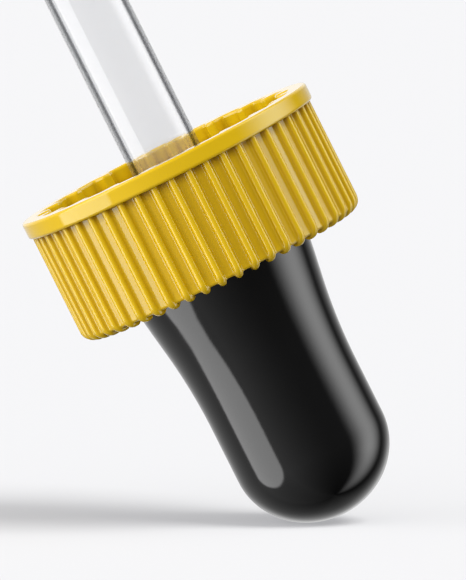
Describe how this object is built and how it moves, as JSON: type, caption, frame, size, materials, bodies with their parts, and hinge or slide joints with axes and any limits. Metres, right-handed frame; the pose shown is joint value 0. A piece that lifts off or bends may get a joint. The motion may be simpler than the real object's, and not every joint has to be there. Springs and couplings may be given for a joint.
{
  "type": "dropper closure",
  "caption": "Ribbed screw cap with a squeezable rubber bulb and a drawn glass pipette, to close and dose from a small bottle.",
  "frame": {"origin": "centre of the cap's mouth plane, on the closure's axis", "axes": "+Z along the axis towards the pipette's drop tip, -Z towards the closed end of the bulb; -Y through the middle of one grip rib"},
  "size_m": [0.0294, 0.0294, 0.0956],
  "materials": {
    "cap_plastic": "glossy yellow moulded polypropylene",
    "bulb_rubber": "smooth glossy black rubber",
    "pipette_glass": "clear fire-polished glass tube"
  },
  "bodies": {
    "cap": {"screw_cap": "cap_plastic"},
    "bulb": {"rubber_bulb": "bulb_rubber"},
    "pipette": {"glass_pipette": "pipette_glass"}
  },
  "joints": [
    {"name": "bulb_swivel", "type": "hinge", "parent": "cap", "child": "bulb", "pos_m": [0, 0, 0], "axis": [0, 0, 1], "continuous": true},
    {"name": "pipette_pull", "type": "slide", "parent": "bulb", "child": "pipette", "axis": [0, 0, 1], "range_m": [0, 0.02]}
  ]
}
